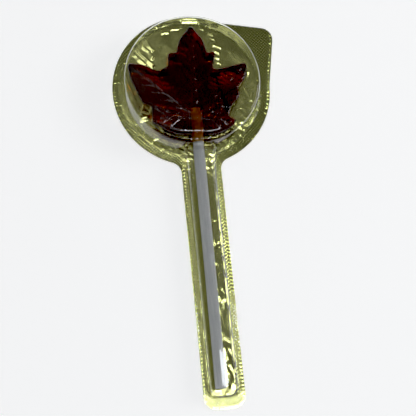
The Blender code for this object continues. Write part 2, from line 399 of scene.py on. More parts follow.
def leaf_top(x, y, depth):
    """Height of the moulded face: lobes that rise to their ribs and round over at the rim."""
    away = Vector((x, y)) - LEAF_ROOT
    bearing = math.degrees(math.atan2(away.y, away.x)) if away.length > 1e-6 else 90.0
    spread = min(1.0, away.length / LEAF_HUB)
    ridge = 1.0 - (1.0 - leaf_ridge(bearing)) * spread
    ridge = ridge * ridge * (3.0 - 2.0 * ridge)
    height = LEAF_VALLEY + (LEAF_CREST - LEAF_VALLEY) * ridge
    height -= LEAF_TIP_DROP * min(1.0, away.length / LEAF_REACH) ** 2
    height += leaf_ribs(away) * min(1.0, depth / RIB_RIM_FADE)
    height += MOULD_WAVER * noise.noise(Vector((x * 300.0, y * 300.0, 3.1)))
    ease = LEAF_EASE + LEAF_EASE_LOW * low_side(y)
    height -= ease * max(0.0, 1.0 - depth / LEAF_EASE_WIDE) ** 2
    if depth < LEAF_SHOULDER:
        height -= LEAF_ROUND * (1.0 - math.sqrt(1.0 - (1.0 - depth / LEAF_SHOULDER) ** 2))
    return height


candy_glass, tree, shader = new_material(
    "Clear dark maple candy", (1.0, 1.0, 1.0, 1.0), CANDY_ROUGHNESS
)
shader.inputs["Transmission Weight"].default_value = 1.0
shader.inputs["IOR"].default_value = CANDY_IOR
where = add_node(tree, "ShaderNodeTexCoord")
ripple = add_node(tree, "ShaderNodeTexNoise", Scale=520.0, Detail=2.0)
tree.links.new(where.outputs["Object"], ripple.inputs["Vector"])
tree.links.new(bump_from(tree, ripple.outputs["Fac"], 0.02, 0.0004), shader.inputs["Normal"])
depths = add_node(tree, "ShaderNodeVolumeAbsorption", Density=1000.0 * CANDY_BLUE)
depths.inputs["Color"].default_value = (
    1.0 - CANDY_RED / CANDY_BLUE,
    1.0 - CANDY_GREEN / CANDY_BLUE,
    0.0,
    1.0,
)
tree.links.new(depths.outputs["Volume"], tree.nodes["Material Output"].inputs["Volume"])

leaf_corners = []
for bearing, reach, bend in LEAF_CORNERS:
    if SPREAD_BEARINGS[0] < bearing < SPREAD_BEARINGS[1]:
        reach *= LEAF_SPREAD
    leaf_corners.append((at(bearing, reach, LEAF_ROOT), bend))
leaf_edge = EdgeLine(rounded(leaf_corners))
bm = trimmed_grid(
    leaf_edge,
    (-0.025, -0.023),
    (0.023, 0.025),
    LEAF_GRID,
    0.0,
    lambda y: LEAF_FACE_INSET + leaf_draft(y),
)
for vert in bm.verts:
    spot, depth = leaf_edge.nearest(vert.co.x, vert.co.y)
    vert.co.z = leaf_top(vert.co.x, vert.co.y, max(0.0, depth - leaf_draft(spot.y)))
rim = [edge for edge in bm.edges if edge.is_boundary]


def leaf_ring(rim, share, inset, height):
    """The rim carried out to a share of the draft and an inset. Height None follows the face."""
    grown = bmesh.ops.extrude_edge_only(bm, edges=rim)["geom"]
    for vert in [v for v in grown if isinstance(v, bmesh.types.BMVert)]:
        spot, _ = leaf_edge.nearest(vert.co.x, vert.co.y)
        flat = Vector((vert.co.x, vert.co.y, 0.0))
        away = (flat - Vector((spot.x, spot.y, 0.0))).normalized()
        flat = Vector((spot.x, spot.y, 0.0)) + away * (share * leaf_draft(spot.y) + inset)
        high = leaf_top(flat.x, flat.y, inset) if height is None else height
        vert.co = Vector((flat.x, flat.y, high))
    return [e for e in grown if isinstance(e, bmesh.types.BMEdge)]


for share in RIM_STEPS[1:]:
    rim = leaf_ring(rim, 1.0, LEAF_FACE_INSET * share, None)
for share, height in WALL_STEPS:
    rim = leaf_ring(rim, share, 0.0, height)
for inset, height in BACK_STEPS:
    rim = leaf_ring(rim, 0.0, inset, LEAF_BACK + height)
bmesh.ops.contextual_create(bm, geom=rim)
bmesh.ops.recalc_face_normals(bm, faces=bm.faces)
for face in bm.faces:
    face.smooth = len(face.verts) <= 4
candy = add_piece("candy_leaf_cast", bm, candy_glass, "candy_leaf")


def add_former(name, bm):
    """A helper solid for the Boolean steps."""
    bmesh.ops.recalc_face_normals(bm, faces=bm.faces)
    for face in bm.faces:
        face.smooth = len(face.verts) <= 4
    mesh = bpy.data.meshes.new(name)
    bm.to_mesh(mesh)
    bm.free()
    made = bpy.data.objects.new(name, mesh)
    bpy.context.scene.collection.objects.link(made)
    return made


def cut(piece, cutter, operation):
    """Applies one Boolean step to the piece's own mesh and removes the cutter."""
    step = piece.modifiers.new(cutter.name, "BOOLEAN")
    step.operation = operation
    step.solver = "EXACT"
    step.object = cutter
    bpy.context.view_layer.update()
    graph = bpy.context.evaluated_depsgraph_get()
    done = bpy.data.meshes.new_from_object(piece.evaluated_get(graph))
    piece.modifiers.clear()
    piece.data = done
    bpy.data.objects.remove(cutter)


bm = bmesh.new()
bmesh.ops.create_circle(bm, segments=STICK_SIDES, radius=COLLAR_WIDE)
ring = bm.edges[:]
for share in COLLAR_STEPS:
    grown = bmesh.ops.extrude_edge_only(bm, edges=ring)["geom"]
    ring = [e for e in grown if isinstance(e, bmesh.types.BMEdge)]
    sleeve = COLLAR_NARROW + (COLLAR_WIDE - COLLAR_NARROW) * (1.0 - share) ** 2
    for vert in [v for v in grown if isinstance(v, bmesh.types.BMVert)]:
        vert.co = (*(vert.co.xy.normalized() * sleeve), COLLAR_LENGTH * share)
bmesh.ops.holes_fill(bm, edges=bm.edges)
bmesh.ops.translate(bm, verts=bm.verts, vec=(0.0, 0.0, COLLAR_START))
bmesh.ops.transform(bm, verts=bm.verts, matrix=ALONG_STICK)
cut(candy, add_former("collar", bm), "UNION")
cut(candy, add_former("bore", stick_body(STICK_R - BORE_GRIP)), "DIFFERENCE")


# Blister
# Clear sheet 0.35 mm thick, vacuum formed over a mould: a round drafted dome for the leaf and an
# arched channel for the stick that flares out at the neck. Drawing has thinned these walls to
# 0.14 mm. The flange stays flat and is heat sealed to the foil.
HEAD_R = 0.02958
HEAD_CENTER = (-0.0005, -0.0005)
STRIP_HALF = 0.00735
STRIP_END_Y = -0.1183
STRIP_END_ROUND = 0.0046
NECK_FILLET = 0.0045
TAB_TURN = -10.0
TAB_RIGHT = 0.0288
TAB_TOP = 0.0276
TAB_ROUND = 0.0046
SHEET_T = 0.00035
SHEET_LOW = 0.00036
FORMED_T = 0.00014
DOME_CENTER = (-0.0013, -0.0006)
DOME_FOOT_R = 0.0262
DOME_SHOULDER_R = 0.0248
DOME_TOP = 0.0133
DOME_CROWN = 0.0003
DOME_ROUND = 0.0016
FOOT_ROUND = 0.0006
LAP = 0.00001
CHANNEL_X = -0.0004
CHANNEL_HALF = 0.00565
CHANNEL_TOP = 0.0070
CHANNEL_DRAFT = 0.0008
CHANNEL_ROUND = 0.0020
CHANNEL_CROWN = 0.00028
CHANNEL_END_Y = -0.1145
CHANNEL_END_ROUND = 0.0034
CHANNEL_END_DIP = 0.45
CHANNEL_FOOT_ROUND = 0.0005
CHANNEL_FLARE = 0.0042
CHANNEL_FLARE_BEND = 2.2
CHANNEL_FLARE_Y = -0.0345
CHANNEL_START_Y = -0.0195
KNURL_PITCH = 0.0009
FILM_TINT = (0.98, 0.99, 0.98, 1.0)
FILM_ROUGHNESS = 0.03
FILM_IOR = 1.30
CUT_PAST = 0.001
FOLD_ANGLE = 32.0


def neck_fillet(side):
    """Centre of the fillet between head and strip, and its bearing from the head's centre."""
    x = side * (STRIP_HALF + NECK_FILLET)
    away = x - HEAD_CENTER[0]
    down = -math.sqrt((HEAD_R + NECK_FILLET) ** 2 - away**2)
    return Vector((x, HEAD_CENTER[1] + down)), math.degrees(math.atan2(down, away)) % 360.0


def tab_meets_head(turn, distance, side):
    """Bearing from the head centre where a tab edge leaves the head circle."""
    short = distance - Vector(HEAD_CENTER).dot(at(turn, 1.0))
    return turn + side * math.degrees(math.acos(short / HEAD_R))


def pack_outline():
    """The die-cut outline of foil and flange: head circle, peel tab, neck fillets and strip."""
    right, right_turn = neck_fillet(1)
    left, left_turn = neck_fillet(-1)
    tab_low = tab_meets_head(TAB_TURN, TAB_RIGHT, 1)
    tab_high = tab_meets_head(TAB_TURN + 90.0, TAB_TOP, -1)
    tab_center = at(TAB_TURN, TAB_RIGHT - TAB_ROUND) + at(TAB_TURN + 90.0, TAB_TOP - TAB_ROUND)
    low = STRIP_END_Y + STRIP_END_ROUND
    inner = STRIP_HALF - STRIP_END_ROUND
    outline = arc(HEAD_CENTER, HEAD_R, right_turn - 360.0, tab_low, 48)
    outline += arc(tab_center, TAB_ROUND, TAB_TURN, TAB_TURN + 90.0, 16)
    outline += arc(HEAD_CENTER, HEAD_R, tab_high, left_turn, 120)
    outline += arc(left, NECK_FILLET, left_turn - 180.0, 0.0, 14)[1:]
    outline += arc((-inner, low), STRIP_END_ROUND, 180.0, 270.0, 14)
    outline += arc((inner, low), STRIP_END_ROUND, 270.0, 360.0, 14)
    outline += arc(right, NECK_FILLET, 180.0, right_turn - 180.0, 14)[:-1]
    return outline


def dome_former(name, inset, low):
    """The dome turned from its half section, this far inside the outer skin."""
    flange = SHEET_LOW + SHEET_T - inset
    shoulder = DOME_SHOULDER_R - inset
    foot = DOME_FOOT_R - inset
    bend = DOME_ROUND - inset
    flare = FOOT_ROUND + inset
    section = [(0.0, DOME_TOP - inset)]
    for k in range(1, 8):
        section.append((shoulder * k / 8, DOME_TOP - inset - DOME_CROWN * (k / 8) ** 2))
    for i in range(11):
        turn = math.radians(90.0 * (1 - i / 10))
        x = shoulder - bend + bend * math.cos(turn)
        section.append((x, DOME_TOP - inset - DOME_CROWN - bend + bend * math.sin(turn)))
    for i in range(7):
        turn = math.radians(90.0 * i / 6)
        x = foot + flare - flare * math.cos(turn)
        section.append((x, flange + flare - flare * math.sin(turn)))
    section[-1] = (section[-1][0], flange - LAP)
    section.append((section[-1][0], low))
    section.append((0.0, low))
    bm = bmesh.new()
    line = [bm.verts.new((x, 0.0, z)) for x, z in section]
    edges = [bm.edges.new(pair) for pair in zip(line, line[1:])]
    bmesh.ops.spin(
        bm,
        geom=line + edges,
        cent=(0.0, 0.0, 0.0),
        axis=(0.0, 0.0, 1.0),
        angle=math.radians(360.0),
        steps=180,
        use_merge=True,
    )
    bmesh.ops.remove_doubles(bm, verts=bm.verts, dist=0.000001)
    bmesh.ops.translate(bm, verts=bm.verts, vec=(*DOME_CENTER, 0.0))
    return add_former(name, bm)


def channel_section(half, top, bend, flare, flange, low):
    """Arch section from the left foot over the top to the right foot."""
    shoulder = half - CHANNEL_DRAFT * (top - flange) / CHANNEL_TOP
    bend = min(bend, 0.9 * shoulder, 0.9 * (top - flange))
    side = [(half + flare, low)]
    for i in range(5):
        turn = math.radians(90.0 * (1 - i / 4))
        z = flange + flare - flare * math.sin(turn)
        side.append((half + flare - flare * math.cos(turn), z - (LAP if i == 0 else 0.0)))
    for i in range(9):
        turn = math.radians(90.0 * i / 8)
        shoulder_z = top - CHANNEL_CROWN - bend + bend * math.sin(turn)
        side.append((shoulder - bend + bend * math.cos(turn), shoulder_z))
    flat = side[-1][0]
    for k in range(1, 7):
        share = 1.0 - k / 6.5
        side.append((flat * share, top - CHANNEL_CROWN * share**2))
    return [(-x, z) for x, z in side] + [(x, z) for x, z in reversed(side)]


def channel_former(name, inset, low):
    """The channel drawn down its length: flared at the neck, rounded off at its end."""
    flange = SHEET_LOW + SHEET_T - inset
    half = CHANNEL_HALF - inset
    top = CHANNEL_TOP - inset
    flare = CHANNEL_FOOT_ROUND + 0.5 * inset
    stations = []
    for i in range(17):
        share = i / 16
        y = CHANNEL_START_Y + (CHANNEL_FLARE_Y - CHANNEL_START_Y) * share
        stations.append((y, half + CHANNEL_FLARE * (1 - share) ** CHANNEL_FLARE_BEND, top))
    end = CHANNEL_END_Y + inset
    bend = CHANNEL_END_ROUND - inset
    for i in range(13):
        turn = math.radians(90.0 * i / 12)
        y = end + bend - bend * math.sin(turn)
        wide = half - bend + bend * math.cos(turn)
        stations.append((y, wide, top - CHANNEL_END_DIP * bend * (1 - math.cos(turn))))
    bm = bmesh.new()
    rings = []
    for y, wide, high in stations:
        places = channel_section(wide, high, CHANNEL_ROUND - inset, flare, flange, low)
        verts = [bm.verts.new((CHANNEL_X + x, y, z)) for x, z in places]
        rings.append([bm.edges.new(pair) for pair in zip(verts, verts[1:] + verts[:1])])
    for ring, ahead in zip(rings, rings[1:]):
        bmesh.ops.bridge_loops(bm, edges=ring + ahead)
    for ring in (rings[0], rings[-1]):
        bmesh.ops.contextual_create(bm, geom=ring)
    return add_former(name, bm)


def reckon(tree, operation, *terms):
    """The result of a Math node whose terms are sockets or numbers."""
    step = add_node(tree, "ShaderNodeMath", operation=operation)
    for place, term in enumerate(terms):
        if isinstance(term, float):
            step.inputs[place].default_value = term
        else:
            tree.links.new(term, step.inputs[place])
    return step.outputs[0]


def knurl_group():
    """Crossed V grooves pressed by the sealing plate, as a height from 0 to 1."""
    group = bpy.data.node_groups.new("Seal knurl", "ShaderNodeTree")
    group.interface.new_socket("Vector", in_out="INPUT", socket_type="NodeSocketVector")
    group.interface.new_socket("Pitch", in_out="INPUT", socket_type="NodeSocketFloat")
    group.interface.new_socket("Height", in_out="OUTPUT", socket_type="NodeSocketFloat")
    enter = group.nodes.new("NodeGroupInput")
    leave = group.nodes.new("NodeGroupOutput")
    turn = add_node(group, "ShaderNodeMapping", Rotation=(0.0, 0.0, math.radians(45.0)))
    split = add_node(group, "ShaderNodeSeparateXYZ")
    group.links.new(enter.outputs["Vector"], turn.inputs["Vector"])
    group.links.new(turn.outputs["Vector"], split.inputs["Vector"])
    waves = []
    for axis in ("X", "Y"):
        count = reckon(group, "DIVIDE", split.outputs[axis], enter.outputs["Pitch"])
        waves.append(reckon(group, "PINGPONG", count, 0.5))
    both = reckon(group, "MINIMUM", *waves)
    group.links.new(reckon(group, "MULTIPLY", both, 2.0), leave.inputs["Height"])
    return group


seal_knurl = knurl_group()

film, tree, shader = new_material("Clear formed plastic", FILM_TINT, FILM_ROUGHNESS)
shader.inputs["Transmission Weight"].default_value = 1.0
shader.inputs["IOR"].default_value = FILM_IOR
where = add_node(tree, "ShaderNodeTexCoord")
knurl = add_node(tree, "ShaderNodeGroup", node_tree=seal_knurl, Pitch=KNURL_PITCH)
tree.links.new(where.outputs["Object"], knurl.inputs["Vector"])
height_of = add_node(tree, "ShaderNodeSeparateXYZ")
tree.links.new(where.outputs["Object"], height_of.inputs["Vector"])
sealed = reckon(tree, "LESS_THAN", height_of.outputs["Z"], SHEET_LOW + SHEET_T + 2.0 * LAP)
pressed = reckon(tree, "MULTIPLY", knurl.outputs["Height"], sealed)
tree.links.new(bump_from(tree, pressed, 0.5, 0.00005), shader.inputs["Normal"])

outline = pack_outline()
bm = bmesh.new()
line = [bm.verts.new((p.x, p.y, SHEET_LOW)) for p in outline]
bottom = bm.faces.new(line)
raised = bmesh.ops.extrude_face_region(bm, geom=[bottom])["geom"]
lift = [v for v in raised if isinstance(v, bmesh.types.BMVert)]
bmesh.ops.translate(bm, verts=lift, vec=(0.0, 0.0, SHEET_T))
bmesh.ops.recalc_face_normals(bm, faces=bm.faces)
blister = add_piece("blister_formed", bm, film, "clear_blister")
cut(blister, dome_former("dome_out", 0.0, SHEET_LOW), "UNION")
cut(blister, channel_former("channel_out", 0.0, SHEET_LOW), "UNION")
cut(blister, dome_former("dome_in", FORMED_T, SHEET_LOW - CUT_PAST), "DIFFERENCE")
cut(blister, channel_former("channel_in", FORMED_T, SHEET_LOW - CUT_PAST), "DIFFERENCE")
blister.data.shade_smooth()
blister.data.set_sharp_from_angle(angle=math.radians(FOLD_ANGLE))


# Foil backing
# Gold lidding foil, heat sealed to the flange with a diamond knurl, crumpled where nothing holds
# it flat: loose facets and sharp creases under the dome and the leaf, tight crinkles along the
# dome's foot and down the channel, and two creases where the seal has lifted at the head's top.
FOIL_GRID = KNURL_PITCH / 2
FOIL_LOW = Vector((-0.032, -0.120))
FOIL_HIGH = Vector((0.034, 0.031))
FOIL_TOP = 0.00020
FOIL_SLACK = 0.0007
LOOSE_FROM = 0.0002
LIFTED_LOW = 0.00004
KNURL_RISE = 0.00006
KNURL_WORN = 0.50
KNURL_WORN_BELOW_Y = -0.1120
KNURL_WEAR_FADE = 0.002
FOIL_GOLD = (0.78, 0.775, 0.335, 1.0)
# The groove colour and its two thresholds are painted shade: the knurl's grooves are darkened in
# the foil's colour, standing in for the shade that falls in them.
FOIL_GROOVE_SHADE = (0.27, 0.28, 0.09, 1.0)
FOIL_ROUGHNESS = 0.17
GROOVE_SHADE_FROM = 0.58
GROOVE_SHADE_FULL = 0.15


def tent(x):
    """A straight-sided wave from 0 to 1, with its period 1."""
    return 1.0 - abs(2.0 * (x % 1.0) - 1.0)


# Both ends of each crest, how wide its long slope is, and how high it stands.
CREASES = (
    (-0.0097, 0.0228, -0.0010, 0.0254, 0.0012, 0.00038),
    (-0.0016, 0.0255, 0.0036, 0.0253, 0.0013, 0.00036),
    (0.0050, 0.0240, 0.0062, 0.0237, 0.0012, 0.00028),
    (-0.0196, 0.0168, -0.0141, 0.0104, 0.0018, 0.00066),
    (-0.0205, 0.0142, -0.0170, 0.0105, 0.0016, 0.00056),
    (-0.0180, 0.0192, -0.0138, 0.0133, 0.0018, 0.00066),
    (-0.0166, 0.0210, -0.0138, 0.0165, 0.0016, 0.00060),
    (0.0088, 0.0217, 0.0096, 0.0213, 0.0016, 0.00037),
    (0.0091, 0.0198, 0.0102, 0.0193, 0.0016, 0.00036),
    (0.0095, 0.0172, 0.0122, 0.0162, 0.0015, 0.00036),
    (0.0130, 0.0172, 0.0146, 0.0168, 0.0010, 0.00024),
    (0.0099, 0.0146, 0.0111, 0.0141, 0.0016, 0.00036),
    (0.0101, 0.0122, 0.0110, 0.0118, 0.0015, 0.00034),
    (0.0103, 0.0098, 0.0111, 0.0094, 0.0015, 0.00034),
    (0.0056, 0.0136, 0.0104, 0.0146, 0.0007, 0.00007),
    (0.0206, 0.0056, 0.0212, 0.0054, 0.0036, 0.00055),
    (0.0197, -0.0002, 0.0209, -0.0047, 0.0008, 0.00026),
    (0.0211, -0.0051, 0.0223, -0.0024, 0.0010, 0.00030),
    (0.0143, -0.0145, 0.0178, -0.0116, 0.0013, 0.00034),
    (0.0157, -0.0088, 0.0184, -0.0082, 0.0010, 0.00016),
    (0.0186, -0.0169, 0.0204, -0.0182, 0.0011, 0.00034),
    (0.0168, -0.0201, 0.0194, -0.0183, 0.0011, 0.00036),
    (0.0143, -0.0205, 0.0159, -0.0226, 0.0010, 0.00032),
    (0.0107, -0.0242, 0.0130, -0.0232, 0.0012, 0.00034),
    (0.0062, -0.0251, 0.0090, -0.0244, 0.0008, 0.00024),
    (0.0036, -0.0261, 0.0064, -0.0259, 0.0019, 0.00042),
    (0.0017, -0.0306, 0.0029, -0.0307, 0.0024, 0.00040),
    (-0.0205, -0.0104, -0.0174, -0.0098, 0.0024, 0.00062),
    (-0.0204, -0.0132, -0.0189, -0.0155, 0.0009, 0.00030),
    (-0.0189, -0.0155, -0.0210, -0.0199, 0.0008, 0.00030),
    (-0.0167, -0.0192, -0.0137, -0.0186, 0.0012, 0.00032),
    (-0.0157, -0.0220, -0.0129, -0.0223, 0.0012, 0.00032),
    (-0.0057, -0.0243, -0.0032, -0.0247, 0.0014, 0.00034),
    (-0.0091, -0.0251, -0.0066, -0.0254, 0.0009, 0.00026),
    (-0.0059, -0.0339, -0.0061, -0.0278, 0.0007, 0.00020),
)
EDGE_CREASES = (
    (-0.0010, 0.0288, 0.0038, 0.0286, 0.0013, 0.00030),
    (-0.0014, 0.0275, 0.0040, 0.0273, 0.0013, 0.00030),
)
UNDER_CREASES = (
    (0.0120, 0.0057, 0.0178, 0.0028, 0.0014, 0.00038),
    (0.0108, 0.0045, 0.0171, 0.0014, 0.0014, 0.00037),
    (0.0094, 0.0034, 0.0158, 0.0002, 0.0014, 0.00033),
    (0.0080, 0.0023, 0.0144, -0.0009, 0.0014, 0.00029),
    (0.0066, 0.0012, 0.0130, -0.0020, 0.0014, 0.00026),
    (0.0060, -0.0004, 0.0116, -0.0032, 0.0014, 0.00024),
    (-0.0170, 0.0054, -0.0128, 0.0039, 0.0013, 0.00036),
    (-0.0160, 0.0037, -0.0096, 0.0014, 0.0013, 0.00033),
    (-0.0140, 0.0014, -0.0080, -0.0006, 0.0013, 0.00028),
    (-0.0146, -0.0108, -0.0102, -0.0122, 0.0013, 0.00032),
    (-0.0142, -0.0124, -0.0094, -0.0139, 0.0013, 0.00032),
    (-0.0040, 0.0156, -0.0002, 0.0143, 0.0013, 0.00033),
    (-0.0050, 0.0136, -0.0016, 0.0124, 0.0013, 0.00031),
    (-0.0072, 0.0102, -0.0034, 0.0088, 0.0013, 0.00029),
)
# Bearing, pitch and rise of each set of folds.
SWELLS = (
    (97.0, 0.0105, 0.00018),
    (62.0, 0.0078, 0.00012),
    (128.0, 0.0064, 0.00010),
)
CRINKLES = (
    (70.0, 0.0029, 0.00014),
    (48.0, 0.0021, 0.00011),
    (131.0, 0.0018, 0.00011),
    (8.0, 0.0031, 0.00012),
)
CREASE_BACK = 0.2
CREASE_WAVER = 0.0005
CREASE_END_STEEP = 1.6
CREASE_END_MOST = 0.0016
LONG_BEND = 0.0016
LONG_WAVES = 95.0
SHORT_BEND = 0.0007
SHORT_WAVES = 380.0
WAVY_MOST = 0.00030
LEAF_MARGIN = 0.0010
TIGHT_FROM_R = 0.0185
TIGHT_FADE_R = 0.004
TIGHT_FROM_Y = 0.004
TIGHT_FADE_Y = 0.018
TIGHT_ABOVE = 0.20
CHANNEL_CALM = 0.35
CHANNEL_BUSY = 0.95
CHANNEL_EASE_IN = 0.008
CHANNEL_EASE_OUT = 0.004
CHANNEL_FLAT_END = 0.0015
CHANNEL_TILT = 0.24
CHANNEL_TILT_X = -0.0020
CHANNEL_SAG = 0.12
CHANNEL_SAG_X = (-0.0006, 0.0014, 0.0052)
CHANNEL_CRINKLES = (
    (12.0, 0.0019, 0.00010),
    (-28.0, 0.0027, 0.00012),
    (58.0, 0.0036, 0.00011),
    (118.0, 0.0047, 0.00010),
)


def crease_height(x, y, left_x, left_y, right_x, right_y, wide, rise):
    """One crease: a straight crest, a long slope on its right-hand side, a steep one behind."""
    along = Vector((right_x - left_x, right_y - left_y))
    length = along.length
    along /= length
    local = Vector((x - left_x, y - left_y))
    run = local.dot(along)
    off = along.cross(local)
    back = CREASE_BACK * wide
    if off < -wide or off > back or run < -wide or run > length + wide:
        return 0.0
    side = 1.0 + off / wide if off < 0.0 else 1.0 - off / back
    past = max(0.0, -run, run - length)
    end = 1.0 - CREASE_END_STEEP * past / min(wide, CREASE_END_MOST)
    return rise * max(0.0, min(side, end))


def clamp(share):
    """This share kept from 0 to 1."""
    return max(0.0, min(1.0, share))


def waver(x, y, scale, seed):
    """Smooth noise over the foil, with about this many waves to a metre."""
    return noise.noise(Vector((x * scale, y * scale, seed)))


def facets(x, y, waves, base, swing, scale, seed):
    """The sum of straight-sided waves of (bearing, pitch, rise), each one swelling and fading."""
    bend = LONG_BEND * waver(x, y, LONG_WAVES, 0.0)
    bend += SHORT_BEND * waver(x, y, SHORT_WAVES, 30.0)
    sway = LONG_BEND * waver(x, y, LONG_WAVES, 9.0)
    sway += SHORT_BEND * waver(x, y, SHORT_WAVES, 35.0)
    place = Vector((x + bend, y + sway))
    total = 0.0
    for i, (turn, pitch, rise) in enumerate(waves):
        swell = max(0.0, base + swing * waver(x, y, scale, seed + i))
        total += rise * swell * tent(place.dot(at(turn, 1.0)) / pitch)
    return total


def foil_height(x, y):
    """How far the loose foil stands up from where it would lie flat."""
    total = facets(x, y, SWELLS, base=0.55, swing=0.9, scale=70.0, seed=20.0)
    wavy = min(total, WAVY_MOST)
    away = math.hypot(x - DOME_CENTER[0], y - DOME_CENTER[1])
    low = clamp((TIGHT_FROM_Y - y) / TIGHT_FADE_Y)
    tight = clamp((away - TIGHT_FROM_R) / TIGHT_FADE_R) * (TIGHT_ABOVE + (1.0 - TIGHT_ABOVE) * low)
    in_channel = y < CHANNEL_FLARE_Y
    if in_channel:
        tight *= CHANNEL_CALM if x < CHANNEL_X else CHANNEL_BUSY
    crinkles = CHANNEL_CRINKLES if in_channel else CRINKLES
    total += tight * facets(x, y, crinkles, base=0.35, swing=1.1, scale=130.0, seed=40.0)
    pressed = clamp(1.0 + leaf_edge.nearest(x, y)[1] / LEAF_MARGIN)
    rough_x = x + CREASE_WAVER * waver(x, y, 420.0, 60.0)
    rough_y = y + CREASE_WAVER * waver(x, y, 420.0, 70.0)
    creased = max(crease_height(rough_x, rough_y, *crease) for crease in CREASES)
    under = max(crease_height(rough_x, rough_y, *crease) for crease in UNDER_CREASES)
    if in_channel:
        ease = min(1.0, (CHANNEL_FLARE_Y - y) / CHANNEL_EASE_IN)
        ease *= clamp((y - CHANNEL_END_Y - CHANNEL_FLAT_END) / CHANNEL_EASE_OUT)
        total += CHANNEL_TILT * max(0.0, CHANNEL_TILT_X - x) * ease
        if x > CHANNEL_SAG_X[0]:
            total += CHANNEL_SAG * max(0.0, CHANNEL_SAG_X[2] - max(x, CHANNEL_SAG_X[1])) * ease
    return max(total, creased) * (1.0 - pressed) + max(wavy, under) * pressed


def loose_depth(x, y):
    """How far inside the sealed line a point is, in the dome or in the channel."""
    dome = DOME_FOOT_R - math.hypot(x - DOME_CENTER[0], y - DOME_CENTER[1])
    wide = CHANNEL_HALF
    if y > CHANNEL_FLARE_Y:
        share = min(1.0, (y - CHANNEL_FLARE_Y) / (CHANNEL_START_Y - CHANNEL_FLARE_Y))
        wide += CHANNEL_FLARE * share**CHANNEL_FLARE_BEND
    aside, above = wide - abs(x - CHANNEL_X), y - CHANNEL_END_Y
    channel = min(aside, above)
    if max(aside, above) < CHANNEL_END_ROUND:
        corner = math.hypot(CHANNEL_END_ROUND - aside, CHANNEL_END_ROUND - above)
        channel = CHANNEL_END_ROUND - corner
    return max(dome, channel if y < CHANNEL_START_Y else dome)


def lifted_seal(x, y):
    """The creases at the top edge of the head, where the seal has lifted."""
    return max(crease_height(x, y, *crease) for crease in EDGE_CREASES)


gold, tree, shader = new_material("Gold lidding foil", FOIL_GOLD, FOIL_ROUGHNESS, 1.0)
where = add_node(tree, "ShaderNodeTexCoord")
grain = add_node(tree, "ShaderNodeTexNoise", Scale=900.0, Detail=3.0)
tree.links.new(where.outputs["Object"], grain.inputs["Vector"])
tree.links.new(bump_from(tree, grain.outputs["Fac"], 0.10, 0.0001), shader.inputs["Normal"])
knurl = add_node(tree, "ShaderNodeGroup", node_tree=seal_knurl, Pitch=KNURL_PITCH)
tree.links.new(where.outputs["Object"], knurl.inputs["Vector"])
# Painted shade: on the sealed flange the knurl's grooves are darkened in the base colour, more the
# deeper the groove, and less where the knurl is worn.
seal = add_node(tree, "ShaderNodeAttribute", attribute_name="sealed")
shade = add_node(tree, "ShaderNodeMapRange")
shade.inputs["From Min"].default_value = GROOVE_SHADE_FROM
shade.inputs["From Max"].default_value = GROOVE_SHADE_FULL
tree.links.new(knurl.outputs["Height"], shade.inputs["Value"])
groove_shade = reckon(tree, "MULTIPLY", shade.outputs["Result"], seal.outputs["Fac"])
tone = add_node(tree, "ShaderNodeMix", data_type="RGBA")
tone.inputs["A"].default_value = FOIL_GOLD
tone.inputs["B"].default_value = FOIL_GROOVE_SHADE
tree.links.new(groove_shade, tone.inputs["Factor"])
tree.links.new(tone.outputs["Result"], shader.inputs["Base Color"])

bm = trimmed_grid(
    EdgeLine(outline), FOIL_LOW, FOIL_HIGH, FOIL_GRID, math.radians(45.0), lambda y: 0.0
)
loose = []
for edge in bm.edges:
    middle = ((edge.verts[0].co + edge.verts[1].co) / 2).xy
    if loose_depth(*middle) > LOOSE_FROM or lifted_seal(*middle) > 0.0:
        loose.append(edge)
bmesh.ops.subdivide_edges(bm, edges=loose, cuts=1, use_grid_fill=True)
knurl_center = (FOIL_LOW + FOIL_HIGH) / 2
turned = Matrix.Rotation(math.radians(-45.0), 2)
# The sealed mask marks the knurled flange, lower where the knurl is worn; it scales the painted
# shade in the grooves.
seal_mask = bm.verts.layers.float.new("sealed")
for vert in bm.verts:
    x, y = vert.co.xy
    depth, lift = loose_depth(x, y), lifted_seal(x, y)
    if depth > 0.0:
        vert.co.z = FOIL_TOP + min(1.0, depth / FOIL_SLACK) * foil_height(x, y)
    elif lift > 0.0:
        vert.co.z = LIFTED_LOW + lift
    else:
        fade = max(KNURL_WORN, clamp(1.0 + (y - KNURL_WORN_BELOW_Y) / KNURL_WEAR_FADE))
        u, v = turned @ (Vector((x, y)) - knurl_center)
        peak = min(tent(u / KNURL_PITCH), tent(v / KNURL_PITCH))
        vert.co.z = FOIL_TOP + fade * KNURL_RISE * (peak - 0.5)
        vert[seal_mask] = fade
bmesh.ops.triangulate(bm, faces=bm.faces, quad_method="LONG_EDGE")
for face in bm.faces:
    middle = face.calc_center_median().xy
    face.smooth = loose_depth(*middle) > 0.0 or lifted_seal(*middle) > 0.0
rim = [edge for edge in bm.edges if edge.is_boundary]
skirt = bmesh.ops.extrude_edge_only(bm, edges=rim)["geom"]
for vert in [v for v in skirt if isinstance(v, bmesh.types.BMVert)]:
    vert.co.z = 0.0
bmesh.ops.contextual_create(bm, geom=[e for e in skirt if isinstance(e, bmesh.types.BMEdge)])
bmesh.ops.recalc_face_normals(bm, faces=bm.faces)
add_piece("foil_crumpled", bm, gold, "foil_backing")


# Studio
# A pale, faintly luminous table and a dim surround that is lit low down in front. One broad
# soft-edged window overhead, a little towards the stick's end, is mirrored by the flat foil at the
# strip's end and by the tilted facets under the dome. A strip light and a side fill add glints.
ROOM_TINT = (0.97, 0.98, 1.0, 1.0)
ROOM_DIM = 0.04
ROOM_BRIGHT = 0.125
ROOM_BRIGHT_TOWARDS = (0.10, 0.52, 0.85)
ROOM_BEHIND = 0.26
ROOM_BEHIND_TOWARDS = (-0.45, 0.35, 0.82)
ROOM_LOW = 0.90
ROOM_LOW_ELSEWHERE = 0.35
WINDOW_RADIANCE = 1.55
WINDOW_SOFT = 0.02
